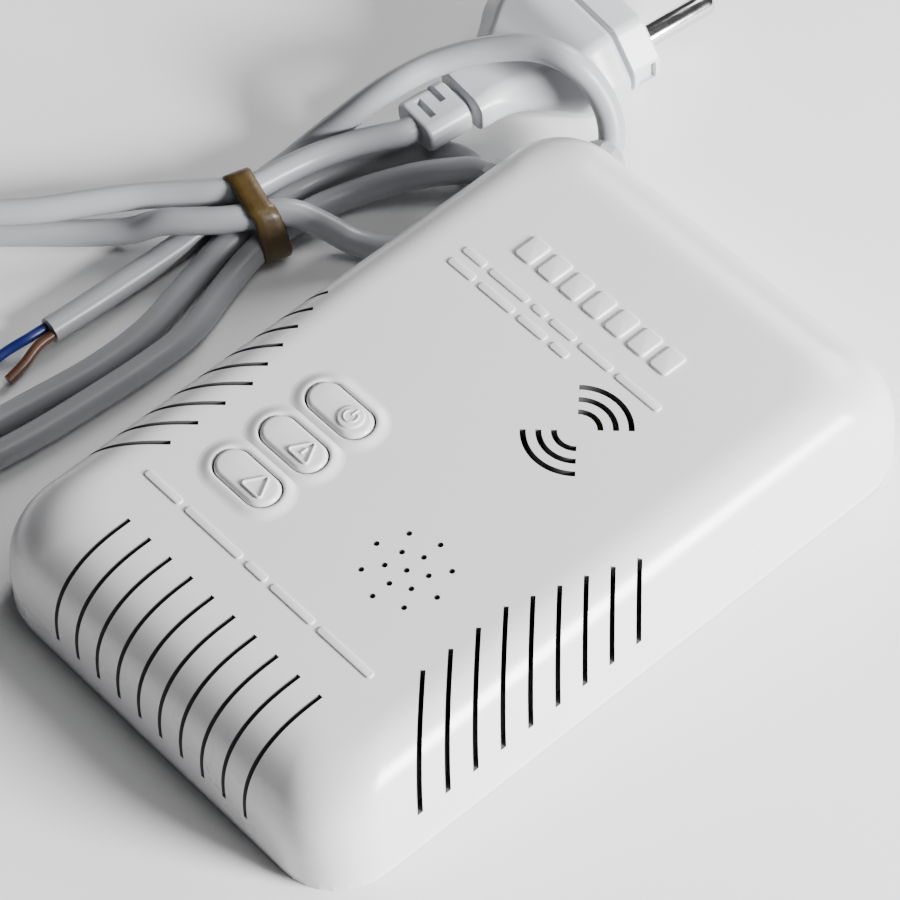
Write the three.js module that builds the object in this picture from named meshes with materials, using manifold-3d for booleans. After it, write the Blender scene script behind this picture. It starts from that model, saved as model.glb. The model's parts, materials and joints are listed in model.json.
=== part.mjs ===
// A mains-powered household gas alarm: a rounded white case with a board, a gas sensor and a
// sounder inside, a tied mains lead with its plug, and a short output lead for a shut-off valve.
// Millimetres. +Z is out of the front face, +Y is towards the lead end, and the origin is the
// middle of the case's back.
import * as THREE from "three";
import { mergeVertices } from "three/addons/utils/BufferGeometryUtils.js";
import Module from "manifold-3d";

const wasm = await Module();
wasm.setup();

// ---- driving dimensions ----
const CASE = { width: 99, length: 150, height: 27, corner: 13.2, topCorner: 8, wall: 2.2 };
const CROWN = { sideInset: 14, endInset: 19, drop: 19, power: 2.6, levels: 7 };
const PLATE = { top: 2, gap: 0.3, inset: 0.4 };
const SLIT = { width: 0.9, pitch: 5.94, endCount: 10, endTop: 19.5, endFoot: 7.7 };
const LOUVRE = { count: 9, firstFoot: -53.1, pitch: 6.7, foot: 11.4, reach: 14.4, full: 4, shorten: 1.6 };
const SOUNDER = { x: 16.8, y: -26.3, hole: 1.1, rings: [[1, 0, 0], [6, 4.2, 30], [8, 8.25, 0]] };
const WAVE = { x: 14.8, y: 17.8, radii: [4.3, 7.2, 10.1], slit: 0.95 };
const KEY = { x: -18.8, ys: [-11.1, -22.5, -33.8], length: 15.4, width: 7.4, proud: 1.2, gap: 0.35 };
const BOARD = { width: 72, from: -60, to: 54, z: 6.5, thick: 1.6 };
const POST = { radius: 3.2, pilot: 1.2, foot: 8, height: 15.5 };
const POSTS = [[-41, -66], [41, -66], [-41, 45], [41, 45]];
const CORD = { radius: 2.65, arcs: 5, step: 12 };
const PLUG = { x: -72.7, y: 54.5, z: 10.5, heading: 84.3, half: 18.6, rise: 10.1, chamfer: [6.6, 7.7] };
const PIN = { radius: 2.4, length: 19, spacing: 19 };
const RING_STEPS = 6;
const CLEAR = 0.3;
const boardTop = BOARD.z + BOARD.thick;
const innerTop = CASE.height - CASE.wall;

// ---- materials ----
const finish = (color, roughness, metalness = 0) =>
  new THREE.MeshStandardMaterial({ color, roughness, metalness });
const whiteShell = () => finish(0xeff0f0, 0.3);
const greyCord = () => finish(0xa6a7aa, 0.45);
const steel = () => finish(0xb9bbbd, 0.35, 1);
const tinned = () => finish(0xc9cacc, 0.3, 1);
const black = () => finish(0x1b1b1d, 0.5);

// ---- solids ----
function solidOf(geometry) {
  const bare = geometry.index ? geometry.clone() : geometry;
  bare.deleteAttribute("normal");
  bare.deleteAttribute("uv");
  const merged = mergeVertices(bare, 1e-4);
  return new wasm.Manifold(
    new wasm.Mesh({
      numProp: 3,
      vertProperties: merged.attributes.position.array,
      triVerts: new Uint32Array(merged.index.array),
    }),
  );
}

function geometryOf(solid) {
  const mesh = solid.getMesh();
  const geometry = new THREE.BufferGeometry();
  geometry.setAttribute("position", new THREE.BufferAttribute(mesh.vertProperties, 3));
  geometry.setIndex(new THREE.BufferAttribute(mesh.triVerts, 1));
  const flat = geometry.toNonIndexed();
  flat.computeVertexNormals();
  return flat;
}

const join = (solids) => solids.reduce((all, one) => all.add(one));
const cut = (solid, tools) => tools.reduce((left, tool) => left.subtract(tool), solid);

// a box given by its middle in plan, its foot and its height, turned about Z by degrees
function block(w, d, h, x, y, z, turn = 0) {
  const box = new THREE.BoxGeometry(w, d, h);
  box.rotateZ(THREE.MathUtils.degToRad(turn));
  return solidOf(box.translate(x, y, z + h / 2));
}

// an upright round bar standing on z
function bar(r, h, x, y, z, sides = 12) {
  const rod = new THREE.CylinderGeometry(r, r, h, sides);
  return solidOf(rod.rotateX(Math.PI / 2).translate(x, y, z + h / 2));
}

// a round bar lying along the plan direction "turn" degrees from +X, centred on a point
function lyingBar(r, h, x, y, z, turn, sides = 12) {
  const rod = new THREE.CylinderGeometry(r, r, h, sides).rotateZ(-Math.PI / 2);
  rod.rotateZ(THREE.MathUtils.degToRad(turn));
  return solidOf(rod.translate(x, y, z));
}

function roundedOutline(w, l, r) {
  const shape = new THREE.Shape();
  const x = w / 2 - r;
  const y = l / 2 - r;
  shape.absarc(x, y, r, 0, Math.PI / 2);
  shape.absarc(-x, y, r, Math.PI / 2, Math.PI);
  shape.absarc(-x, -y, r, Math.PI, 1.5 * Math.PI);
  shape.absarc(x, -y, r, 1.5 * Math.PI, 2 * Math.PI);
  return shape;
}

function slab(shape, h, x, y, z, bevel = 0, curveSegments = 4) {
  const solid = new THREE.ExtrudeGeometry(shape, {
    depth: h - 2 * bevel,
    bevelEnabled: bevel > 0,
    bevelThickness: bevel,
    bevelSize: bevel,
    bevelOffset: -bevel,
    bevelSegments: 2,
    curveSegments,
  });
  return solidOf(solid.translate(x, y, z + bevel));
}

// closes a stack of rings, each the same number of points, into one solid
function loft(rings) {
  const count = rings[0].length;
  const points = rings.flat();
  const faces = [];
  for (let level = 0; level + 1 < rings.length; level += 1) {
    for (let i = 0; i < count; i += 1) {
      const a = level * count + i;
      const b = level * count + ((i + 1) % count);
      faces.push(a, b, b + count, a, b + count, a + count);
    }
  }
  const last = (rings.length - 1) * count;
  for (let i = 1; i + 1 < count; i += 1) {
    faces.push(0, i + 1, i);
    faces.push(last, last + i, last + i + 1);
  }
  const geometry = new THREE.BufferGeometry().setFromPoints(points);
  geometry.setIndex(faces);
  return solidOf(geometry);
}

// the case's outside, or its inside when shrunk by a wall
function caseForm(shrink, foot) {
  const rings = [];
  const ring = (insetX, insetY, radius, z) => {
    const outline = roundedOutline(
      CASE.width - 2 * (shrink + insetX),
      CASE.length - 2 * (shrink + insetY),
      Math.max(radius - shrink, 2),
    );
    return outline.getPoints(RING_STEPS).slice(0, -1).map((p) => new THREE.Vector3(p.x, p.y, z));
  };
  rings.push(ring(0, 0, CASE.corner, foot));
  for (let level = 0; level <= CROWN.levels; level += 1) {
    const angle = (level / CROWN.levels) * (Math.PI / 2);
    const rise = Math.sin(angle) ** (2 / CROWN.power);
    const lean = 1 - Math.max(Math.cos(angle), 0) ** (2 / CROWN.power);
    rings.push(
      ring(
        CROWN.sideInset * lean,
        CROWN.endInset * lean,
        CASE.corner + (CASE.topCorner - CASE.corner) * lean,
        CASE.height - shrink - CROWN.drop * (1 - rise),
      ),
    );
  }
  return loft(rings);
}

// ---- the front cover ----
function endSlits() {
  const tools = [];
  const run = SLIT.endTop + 3;
  for (let i = 0; i < SLIT.endCount; i += 1) {
    const x = (i - (SLIT.endCount - 1) / 2) * SLIT.pitch;
    const y = -CASE.length / 2 + SLIT.endTop - run / 2;
    tools.push(block(SLIT.width, run, CASE.height, x, y, SLIT.endFoot));
  }
  return tools;
}

// upright cuts at 45 degrees in plan: upright on the side wall, slanting over the crown
function louvres(side) {
  const tools = [];
  const outside = 4;
  for (let i = 0; i < LOUVRE.count; i += 1) {
    const reach = LOUVRE.reach - LOUVRE.shorten * Math.max(0, i - LOUVRE.full + 1);
    const foot = LOUVRE.firstFoot + i * LOUVRE.pitch;
    const middle = (reach - outside) / 2;
    const length = (reach + outside) * Math.SQRT2;
    tools.push(
      block(
        length,
        SLIT.width,
        CASE.height,
        side * (CASE.width / 2 - middle),
        foot + middle,
        LOUVRE.foot,
        side > 0 ? 135 : 45,
      ),
    );
  }
  return tools;
}

function sounderHoles() {
  const tools = [];
  for (const [count, radius, start] of SOUNDER.rings) {
    for (let i = 0; i < count; i += 1) {
      const angle = THREE.MathUtils.degToRad(start + (360 / count) * i);
      const x = SOUNDER.x + radius * Math.cos(angle);
      const y = SOUNDER.y + radius * Math.sin(angle);
      tools.push(bar(SOUNDER.hole / 2, 6, x, y, innerTop - 2, 6));
    }
  }
  return tools;
}

function waveSlits() {
  const tools = [];
  for (const radius of WAVE.radii) {
    for (const from of [Math.PI / 4, (5 * Math.PI) / 4]) {
      const arc = new THREE.Shape();
      arc.absarc(0, 0, radius + WAVE.slit / 2, from, from + Math.PI / 2, false);
      arc.absarc(0, 0, radius - WAVE.slit / 2, from + Math.PI / 2, from, true);
      tools.push(slab(arc, 6, WAVE.x, WAVE.y, innerTop - 2));
    }
  }
  return tools;
}

const stadium = (length, width) => roundedOutline(length, width, width / 2 - 0.3);

const posts = () => POSTS.map(([x, y]) => bar(POST.radius, POST.height, x, y, POST.foot));

const GLANDS = {
  valve: { x: -40.3, y: 74.4, z: 9.5, turn: 107.5 },
  mains: { x: -CASE.width / 2, y: 57.5, z: 9.5, turn: 180 },
};
const GLAND = { neck: 3.7, flange: 5.2, out: 4, inside: 8, lip: 1.6 };

function frontCover() {
  const foot = PLATE.top + PLATE.gap;
  const shell = caseForm(0, foot).subtract(caseForm(CASE.wall, foot - 1));
  const windows = KEY.ys.map((y) =>
    slab(stadium(KEY.length + 2 * KEY.gap, KEY.width + 2 * KEY.gap), 6, KEY.x, y, innerTop - 2),
  );
  const pilots = POSTS.map(([x, y]) => bar(POST.pilot, 9, x, y, POST.foot - 1, 8));
  const ports = Object.values(GLANDS).map((g) =>
    lyingBar(GLAND.neck + CLEAR, 12, g.x, g.y, g.z, g.turn),
  );
  const cuts = [
    ...endSlits(),
    ...louvres(1),
    ...louvres(-1),
    ...sounderHoles(),
    ...waveSlits(),
    ...windows,
    ...pilots,
    ...ports,
  ];
  const inside = join(posts()).intersect(caseForm(1, 0));
  return cut(shell.add(inside), cuts);
}

// ---- the back plate, its bosses and keyholes ----
const KEYHOLE = { y: 32, head: 4.2, neck: 2.1, run: 7 };
const STANDOFFS = [[-32, -52], [32, -52], [-32, 46], [32, 46]];

function backPlate() {
  const plate = slab(
    roundedOutline(CASE.width - 2 * PLATE.inset, CASE.length - 2 * PLATE.inset, CASE.corner),
    PLATE.top,
    0,
    0,
    0,
  );
  const bosses = STANDOFFS.map(([x, y]) => bar(3, BOARD.z - CLEAR - 1, x, y, 1));
  const cuts = STANDOFFS.map(([x, y]) => bar(1.1, 6, x, y, 2.4, 8));
  for (const sy of [-1, 1]) {
    cuts.push(bar(KEYHOLE.head, 6, 0, sy * KEYHOLE.y, -2, 16));
    cuts.push(block(2 * KEYHOLE.neck, KEYHOLE.run, 6, 0, sy * KEYHOLE.y + KEYHOLE.run / 2 + 1.5, -2));
  }
  for (const [x, y] of POSTS) {
    cuts.push(bar(1.8, 6, x, y, -2, 12));
    cuts.push(bar(3.3, 2.2, x, y, -1, 12));
  }
  return cut(join([plate, ...bosses]), cuts);
}

// ---- keys: a raised cap with a symbol, a skirt that keeps it in, and a stem ----
const SWITCH = { size: 6.2, height: 3.5, bore: 1.9, x: KEY.x - 3.6 };
const plungerTop = boardTop + CLEAR + 7;
const symbolZ = CASE.height + KEY.proud - 0.05;
const symbolX = KEY.x + 3.1;

function ringSymbol(y) {
  const disc = bar(2.7, 0.5, symbolX, y, symbolZ, 20);
  const arc = new THREE.Shape();
  const from = THREE.MathUtils.degToRad(125);
  const to = THREE.MathUtils.degToRad(415);
  arc.absarc(0, 0, 1.6, from, to, false);
  arc.absarc(0, 0, 1.05, to, from, true);
  return join([
    disc,
    slab(arc, 0.35, symbolX, y, symbolZ + 0.45),
    block(0.5, 1.5, 0.35, symbolX, y + 1, symbolZ + 0.45),
  ]);
}

function triangleSymbol(y, marked) {
  const outline = (reach) => {
    const shape = new THREE.Shape();
    for (let i = 0; i < 3; i += 1) {
      const angle = Math.PI / 2 + (i * 2 * Math.PI) / 3;
      const point = [reach * Math.cos(angle), reach * Math.sin(angle)];
      if (i === 0) shape.moveTo(...point);
      else shape.lineTo(...point);
    }
    shape.closePath();
    return shape;
  };
  const frame = slab(outline(3.1), 0.5, symbolX, y - 0.4, symbolZ);
  const hollow = slab(outline(2.0), 2, symbolX, y - 0.4, symbolZ + 0.2);
  const open = frame.subtract(hollow);
  return marked ? open.add(block(0.5, 1.6, 0.5, symbolX, y - 0.3, symbolZ)) : open;
}

function keyCap(index) {
  const y = KEY.ys[index];
  const skirtZ = innerTop - 0.4 - 0.9;
  const cap = slab(stadium(KEY.length, KEY.width), symbolZ + 0.05 - skirtZ, KEY.x, y, skirtZ, 0.5);
  const skirt = slab(stadium(KEY.length + 1.9, KEY.width + 1.9), 0.9, KEY.x, y, skirtZ);
  const stem = bar(1.7, skirtZ - plungerTop - CLEAR + 0.2, SWITCH.x, y, plungerTop + CLEAR);
  const lampWell = bar(1.95, 2, symbolX, y, skirtZ - 1);
  const symbol = index === 0 ? ringSymbol(y) : triangleSymbol(y, index === 1);
  return join([cap, skirt, stem]).subtract(lampWell).add(symbol);
}

function switchBody(y) {
  const body = block(SWITCH.size, SWITCH.size, SWITCH.height, SWITCH.x, y, boardTop + CLEAR);
  return body.subtract(bar(SWITCH.bore, 4, SWITCH.x, y, boardTop + CLEAR + 0.8));
}

const plunger = (y) => bar(1.55, 5, SWITCH.x, y, plungerTop - 5);

function lamp(y) {
  const rise = innerTop - 3.6 - boardTop - CLEAR;
  const legs = [-0.9, 0.9].map((x) => block(0.5, 0.5, rise - 4, symbolX + x, y, boardTop + CLEAR));
  return join([...legs, bar(1.5, 4.4, symbolX, y, boardTop + CLEAR + rise - 4.2, 12)]);
}

// ---- what stands on the board ----
function circuitBoard() {
  const middle = (BOARD.from + BOARD.to) / 2;
  const board = block(BOARD.width, BOARD.to - BOARD.from, BOARD.thick, 0, middle, BOARD.z);
  return cut(board, STANDOFFS.map(([x, y]) => bar(1.6, 4, x, y, BOARD.z - 1, 8)));
}

function screw(shank, length, head, headHeight, x, y, headZ, up) {
  const shaft = bar(shank, length, x, y, up ? headZ + headHeight - 0.1 : headZ - length + 0.1, 8);
  const top = bar(head, headHeight, x, y, headZ, 12);
  const slotZ = up ? headZ - 0.4 : headZ + headHeight - 0.4;
  const slots = [0, 90].map((turn) => block(head * 1.3, 0.6, 0.8, x, y, slotZ, turn));
  return cut(join([shaft, top]), slots);
}

const onBoard = boardTop + CLEAR;

function transformerCore() {
  const core = block(30, 26, 13, 13, 38, onBoard);
  return core.subtract(block(18, 40, 8.4, 13, 38, onBoard + 2.3));
}

function transformerCoil() {
  return slab(roundedOutline(17.2, 33, 3), 7.6, 13, 38, onBoard + 2.7, 1);
}

function sensorBase() {
  return join([bar(9.2, 4, 0, -46, onBoard, 20), bar(7.6, 1.2, 0, -46, onBoard + 3.9, 20)]);
}

function sensorMesh() {
  const z = onBoard + 5.4;
  return bar(7, 7.5, 0, -46, z, 20).subtract(bar(6.3, 3, 0, -46, z - 1, 20));
}

function sounderDisc() {
  const z = onBoard;
  const can = bar(7, 9, SOUNDER.x, SOUNDER.y, z, 20);
  return can.subtract(bar(1.2, 2, SOUNDER.x, SOUNDER.y, z + 8, 10));
}

function relay() {
  return block(19, 15.4, 15, -22, 28, onBoard);
}

function terminalBlock() {
  const x = -18.5;
  const ways = [-1.5, -0.5, 0.5, 1.5];
  const body = block(20, 9, 10, x, 46.5, onBoard);
  const entries = ways.map((i) => block(3.2, 5, 3.6, x + i * 4.7, 51, onBoard + 1.6));
  const wells = ways.map((i) => bar(1.6, 4, x + i * 4.7, 46.5, onBoard + 7, 8));
  return cut(body, [...entries, ...wells]);
}

function fuseHolder() {
  const clip = (y) => block(7, 2.4, 6, 27.5, y, onBoard).subtract(block(4.6, 6, 6, 27.5, y, onBoard + 2));
  return join([block(7, 24, 1.4, 27.5, 8, onBoard), clip(-1.4), clip(17.4)]);
}

const fuse = () => lyingBar(1.95, 20, 27.5, 8, onBoard + 4.3, 90, 12);

function varistor() {
  const legs = [-1.5, 1.5].map((x) => block(0.7, 0.7, 3, x, 16.5, onBoard));
  return join([...legs, lyingBar(5, 3.4, 0, 16.5, onBoard + 7.4, 90, 16)]);
}

function chip() {
  const legs = [];
  for (let i = 0; i < 8; i += 1) {
    legs.push(block(9.6, 0.6, 1.6, 4, -14 + i * 2, onBoard));
  }
  return join([block(6.6, 18, 3, 4, -7, onBoard + 0.9), ...legs]);
}

function regulator() {
  const tab = block(10, 1.3, 15, -2, 7, onBoard).subtract(lyingBar(1.6, 6, -2, 7, onBoard + 12, 90, 10));
  return join([tab, block(10, 4.2, 9, -2, 9.4, onBoard)]);
}

function capacitor(r, h, x, y) {
  const can = bar(r, h, x, y, onBoard, 16);
  return can.subtract(block(r, 0.5, 1, x, y, onBoard + h - 0.4));
}

// ---- where the leads leave ----
// a soft sleeve through the wall: a flange each side and a taper outside
function glandSleeve() {
  const bore = CORD.radius + 0.45;
  const profile = [
    [bore, -GLAND.inside],
    [GLAND.flange, -GLAND.inside],
    [GLAND.flange, -GLAND.inside + GLAND.lip],
    [GLAND.neck, -GLAND.inside + GLAND.lip],
    [GLAND.neck, 0.6],
    [GLAND.flange, 0.6],
    [GLAND.flange, 0.6 + GLAND.lip],
    [bore + 0.9, GLAND.out],
    [bore, GLAND.out],
    [bore, -GLAND.inside],
  ];
  const lathe = new THREE.LatheGeometry(profile.map(([r, y]) => new THREE.Vector2(r, y)), 12);
  return solidOf(lathe.rotateZ(-Math.PI / 2));
}

// ---- leads: routes chosen by hand, straight out of their glands, then down and along the floor ----
const along = (g, out) => {
  const a = THREE.MathUtils.degToRad(g.turn);
  return [g.x + Math.cos(a) * out, g.y + Math.sin(a) * out, g.z];
};
const FLOOR = CORD.radius + 0.1;
const OVER = FLOOR + 5.75;
const TIED = { low: 4.1, high: 9.4 };

// half a turn of a loop lying on the floor, clockwise seen from above
const LOOP = { x: -112, y: -80, outer: 37, inner: 31.2 };
function halfTurn(radius, rises) {
  return rises.map((z, i) => {
    const angle = (-i * Math.PI) / (rises.length - 1);
    return [LOOP.x + radius * Math.cos(angle), LOOP.y + radius * Math.sin(angle), z];
  });
}

const VALVE_ROUTE = [
  along(GLANDS.valve, -7),
  along(GLANDS.valve, -2),
  along(GLANDS.valve, 3),
  [-42.6, 80.4, 10.4],
  [-46, 83, 13.8],
  [-50.8, 83.5, 18.6],
  [-56, 81.8, 23],
  [-63.2, 79.2, 22.8],
  [-70.6, 73.6, 21],
  [-77, 64.8, 18.6],
  [-79.7, 56.5, 17.4],
  [-81.8, 51.3, 14.6],
  [-83.9, 46.9, 11],
  [-86.3, 42, 7],
  [-87.9, 36, 3.8],
  [-87.7, 28, 3.6],
  [-87.2, 20.9, TIED.low],
  [-87.3, 12, 3.8],
  [-87.2, 4.5, FLOOR],
  [-87.6, -13.3, FLOOR],
  [-88.3, -28, FLOOR],
];

const MAINS_ROUTE = [
  along(GLANDS.mains, -7),
  along(GLANDS.mains, -2),
  along(GLANDS.mains, 3),
  [-56.6, 56.6, 9.4],
  [-60.4, 52.8, 8.9],
  [-63.8, 49.4, 7.9],
  [-68.5, 44.5, 5.6],
  [-73, 38, 3.4],
  [-75.4, 30, 3.1],
  [-75.7, 23.5, 3.7],
  [-75.2, 17, TIED.low],
  [-74.2, 10, 3.8],
  [-72.4, 2.8, FLOOR],
  [-69, -8, FLOOR],
  [-68.4, -18.5, FLOOR],
  [-68.9, -30.3, FLOOR],
  [-70.1, -46, FLOOR],
  [-72.5, -62, FLOOR],
  ...halfTurn(LOOP.outer, [FLOOR, FLOOR, FLOOR, FLOOR, FLOOR, FLOOR, FLOOR]),
  [-147.5, -64, FLOOR],
  [-141, -50, FLOOR],
  [-131, -37, FLOOR],
  [-120, -25, FLOOR],
  [-109.7, -14.1, FLOOR],
  [-101.5, -5.6, FLOOR],
  [-96, -0.6, 4.2],
  [-90.8, 3.6, 7.8],
  [-85.6, 7.8, 8.9],
  [-81, 12.8, 9.4],
  [-77.9, 17.8, TIED.high],
  [-73.6, 22.9, 9.5],
  [-68.9, 26.8, 6.4],
  [-64.3, 29.6, 3.6],
  [-59.4, 32.6, FLOOR],
  [-55.3, 37.4, FLOOR],
  [-53.5, 44, FLOOR],
  [-54, 51, FLOOR],
  [-57.2, 57, FLOOR],
  [-62.4, 60.2, FLOOR],
  [-68, 59, FLOOR],
  [-72.8, 54, FLOOR],
  [-79, 43.4, FLOOR],
  [-82.3, 31, 3],
  [-81, 19, TIED.low],
  [-80.6, 10, 3.8],
  [-79, 2, FLOOR],
  [-75.2, -13.7, FLOOR],
  [-74.8, -26.9, FLOOR],
  [-76.6, -42, FLOOR],
  [-79, -60, FLOOR],
  ...halfTurn(LOOP.inner, [FLOOR, FLOOR, FLOOR, FLOOR, 3.6, 5.6, 7.8]),
  [-142.8, -66, OVER],
  [-139, -50, OVER],
  [-130.6, -37, OVER],
  [-120.4, -25, OVER],
  [-110.6, -13.6, OVER],
  [-104, -3.6, OVER],
  [-98.6, 4.4, OVER],
  [-93.4, 10.2, 8.9],
  [-88.4, 15.4, 9.4],
  [-84.4, 21, TIED.high],
  [-83.4, 28.6, 8.9],
  [-82, 36, 8.7],
  [-79.2, 43.2, 9],
  [-75.6, 49, 9.8],
  [-73.5, 52, 10.3],
  [-73, 53.9, 10.5],
];

function leadTube(route) {
  const points = route.map((p) => new THREE.Vector3(...p));
  const path = new THREE.CatmullRomCurve3(points, false, "centripetal");
  path.arcLengthDivisions = 1200;
  const section = new THREE.Shape();
  section.absarc(0, 0, CORD.radius, 0, 2 * Math.PI);
  const steps = Math.round(path.getLength() / CORD.step);
  const options = { steps, extrudePath: path, bevelEnabled: false, curveSegments: CORD.arcs };
  return solidOf(new THREE.ExtrudeGeometry(section, options));
}

// two insulated cores show where the output lead's jacket ends
function core(side) {
  const [x, y, z] = VALVE_ROUTE[VALVE_ROUTE.length - 1];
  const route = [
    [x + side * 1.2, y - CLEAR, z],
    [x + side * 1.4, y - 4, z],
    [x + side * 2.4, y - 8.5, z - 0.9],
    [x + side * 2.9, y - 13, z - 1.6],
  ];
  const path = new THREE.CatmullRomCurve3(route.map((p) => new THREE.Vector3(...p)));
  const section = new THREE.Shape();
  section.absarc(0, 0, 1, 0, 2 * Math.PI);
  const options = { steps: 5, extrudePath: path, bevelEnabled: false, curveSegments: 4 };
  return solidOf(new THREE.ExtrudeGeometry(section, options));
}

// the flat band round the five strands
const TIE = { x: -81.2, y: 19, turn: -17, width: 23.8, height: 13.1, band: 6.4, thick: 0.8, foot: 0.15 };

function cordTie() {
  const outside = slab(roundedOutline(TIE.width, TIE.height, 4), TIE.band, 0, 0, -TIE.band / 2);
  const inside = slab(
    roundedOutline(TIE.width - 2 * TIE.thick, TIE.height - 2 * TIE.thick, 3),
    TIE.band + 2,
    0,
    0,
    -TIE.band / 2 - 1,
  );
  return outside.subtract(inside);
}

// ---- the plug, along its own +X: sleeve at 0, pins at the far end ----
const SHAPE = {
  sleeve: 11.6,
  plan: [[11.9, 7], [15.5, 7.2], [21.5, 10], [26, 13], [29.5, 16.4], [31.8, 18.6], [41, 18.6]],
  side: [[11.9, 4.2], [21.5, 5], [25.5, 6.8], [28.5, 7.6], [31, 8.6], [33.5, 10.1], [41, 10.1]],
  face: [41.3, 49.2],
};

function mirrored(points) {
  const shape = new THREE.Shape();
  points.forEach(([x, y], i) => (i ? shape.lineTo(x, -y) : shape.moveTo(x, -y)));
  for (const [x, y] of [...points].reverse()) shape.lineTo(x, y);
  shape.closePath();
  return shape;
}

// an eight-sided bar along +X
function octagonBar(half, rise, from, to) {
  const [cx, cz] = PLUG.chamfer;
  const shape = new THREE.Shape();
  const corners = [[half - cx, -rise], [half, -rise + cz], [half, rise - cz], [half - cx, rise]];
  corners.forEach(([y, z], i) => (i ? shape.lineTo(y, z) : shape.moveTo(y, z)));
  for (const [y, z] of [...corners].reverse()) shape.lineTo(-y, z);
  shape.closePath();
  const geometry = new THREE.ExtrudeGeometry(shape, { depth: to - from, bevelEnabled: false });
  geometry.rotateX(Math.PI / 2);
  geometry.rotateZ(Math.PI / 2);
  return solidOf(geometry.translate(from, 0, 0));
}

function plugSleeve() {
  const sleeve = slab(roundedOutline(SHAPE.sleeve, 12, 2), 7, SHAPE.sleeve / 2, 0, -3.5, 0.8);
  const slots = [[3.2, 0.4], [7.2, 2.6]].map(([x, y]) => block(1.5, 5.6, 3, x, y, 2.2));
  return cut(sleeve, slots);
}

function plugBody() {
  const plan = slab(mirrored(SHAPE.plan), 40, 0, 0, -20);
  const side = new THREE.ExtrudeGeometry(mirrored(SHAPE.side), { depth: 60, bevelEnabled: false });
  const tall = solidOf(side.translate(0, 0, -30).rotateX(Math.PI / 2));
  return octagonBar(PLUG.half, PLUG.rise, 0, 60).intersect(plan).intersect(tall);
}

function plugFace() {
  const [from, to] = SHAPE.face;
  const insert = octagonBar(PLUG.half - 1, PLUG.rise - 0.7, from, to);
  const cuts = [];
  for (const side of [-1, 1]) {
    cuts.push(block(4, 3, 4, (from + to) / 2, side * PLUG.half, -2));
    cuts.push(lyingBar(PIN.radius + CLEAR, 6, to, (side * PIN.spacing) / 2, 0, 0));
  }
  return cut(insert, cuts);
}

function plugPin(side) {
  const { radius, length } = PIN;
  const profile = [[0, 0], [radius, 0], [radius, length + 0.6], [radius - 0.9, length + 2.4], [0, length + 2.7]];
  const lathe = new THREE.LatheGeometry(profile.map(([r, y]) => new THREE.Vector2(r, y)), 12);
  return solidOf(lathe.rotateZ(-Math.PI / 2).translate(SHAPE.face[1] - 2.7, (side * PIN.spacing) / 2, 0));
}

// ---- assembly ----
const root = new THREE.Group();

function addPiece(parent, name, solid, material) {
  const mesh = new THREE.Mesh(geometryOf(solid), material);
  mesh.name = name;
  parent.add(mesh);
  return mesh;
}

function addCase() {
  addPiece(root, "front_cover", frontCover(), whiteShell());
  addPiece(root, "back_plate", backPlate(), whiteShell());
  POSTS.forEach(([x, y], i) => {
    addPiece(root, `cover_screw_${i + 1}`, screw(1.05, 11, 2.8, 0.7, x, y, 0.15, true), steel());
  });
  STANDOFFS.forEach(([x, y], i) => {
    addPiece(root, `board_screw_${i + 1}`, screw(1, 4.6, 2.4, 1.2, x, y, onBoard, false), steel());
  });
}

function addKeys() {
  const names = ["power", "alarm", "fault"];
  const colours = [0x3fbf4f, 0xd83a2c, 0xe6b422];
  names.forEach((name, i) => {
    const y = KEY.ys[i];
    addPiece(root, `key_${name}`, keyCap(i), finish(0xe9eaeb, 0.35));
    addPiece(root, `plunger_${name}`, plunger(y), black());
    addPiece(root, `switch_${name}`, switchBody(y), black());
    addPiece(root, `lamp_${name}`, lamp(y), finish(colours[i], 0.2));
  });
}

function addBoard() {
  addPiece(root, "circuit_board", circuitBoard(), finish(0x2f6b3a, 0.5));
  addPiece(root, "transformer_core", transformerCore(), finish(0x55585c, 0.5, 1));
  addPiece(root, "transformer_coil", transformerCoil(), finish(0xc8a23a, 0.4));
  addPiece(root, "gas_sensor_base", sensorBase(), finish(0x2a2a2c, 0.5));
  addPiece(root, "gas_sensor_mesh", sensorMesh(), steel());
  addPiece(root, "sounder", sounderDisc(), black());
  addPiece(root, "relay", relay(), finish(0x2b5fb0, 0.4));
  addPiece(root, "terminal_block", terminalBlock(), finish(0x3a8a4a, 0.45));
  addPiece(root, "fuse_holder", fuseHolder(), tinned());
  addPiece(root, "fuse", fuse(), finish(0xdfe4e6, 0.1));
  addPiece(root, "varistor", varistor(), finish(0x2d5fa8, 0.5));
  addPiece(root, "controller_chip", chip(), black());
  addPiece(root, "regulator", regulator(), black());
  addPiece(root, "capacitor_1", capacitor(5, 13, 19, -10.5), finish(0x24262a, 0.4));
  addPiece(root, "capacitor_2", capacitor(4, 11, -30, 10), finish(0x24262a, 0.4));
  addPiece(root, "capacitor_3", capacitor(3.2, 9, -8, -16), finish(0x24262a, 0.4));
}

function addGlands() {
  for (const [name, g] of Object.entries(GLANDS)) {
    const sleeve = addPiece(root, `${name}_gland`, glandSleeve(), greyCord());
    sleeve.position.set(g.x, g.y, g.z);
    sleeve.rotation.z = THREE.MathUtils.degToRad(g.turn);
  }
}

function addLeads() {
  addPiece(root, "valve_lead", leadTube(VALVE_ROUTE), greyCord());
  addPiece(root, "mains_lead", leadTube(MAINS_ROUTE), greyCord());
  addPiece(root, "valve_core_1", core(-1), finish(0x1d2f7a, 0.4));
  addPiece(root, "valve_core_2", core(1), finish(0x6a3a1e, 0.4));
  const tie = addPiece(root, "cord_tie", cordTie(), finish(0x5a4318, 0.6));
  tie.rotation.set(Math.PI / 2, 0, 0);
  const turned = new THREE.Group();
  turned.rotation.z = THREE.MathUtils.degToRad(TIE.turn);
  turned.position.set(TIE.x, TIE.y, TIE.foot + TIE.height / 2);
  turned.add(tie);
  root.add(turned);
}

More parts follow.
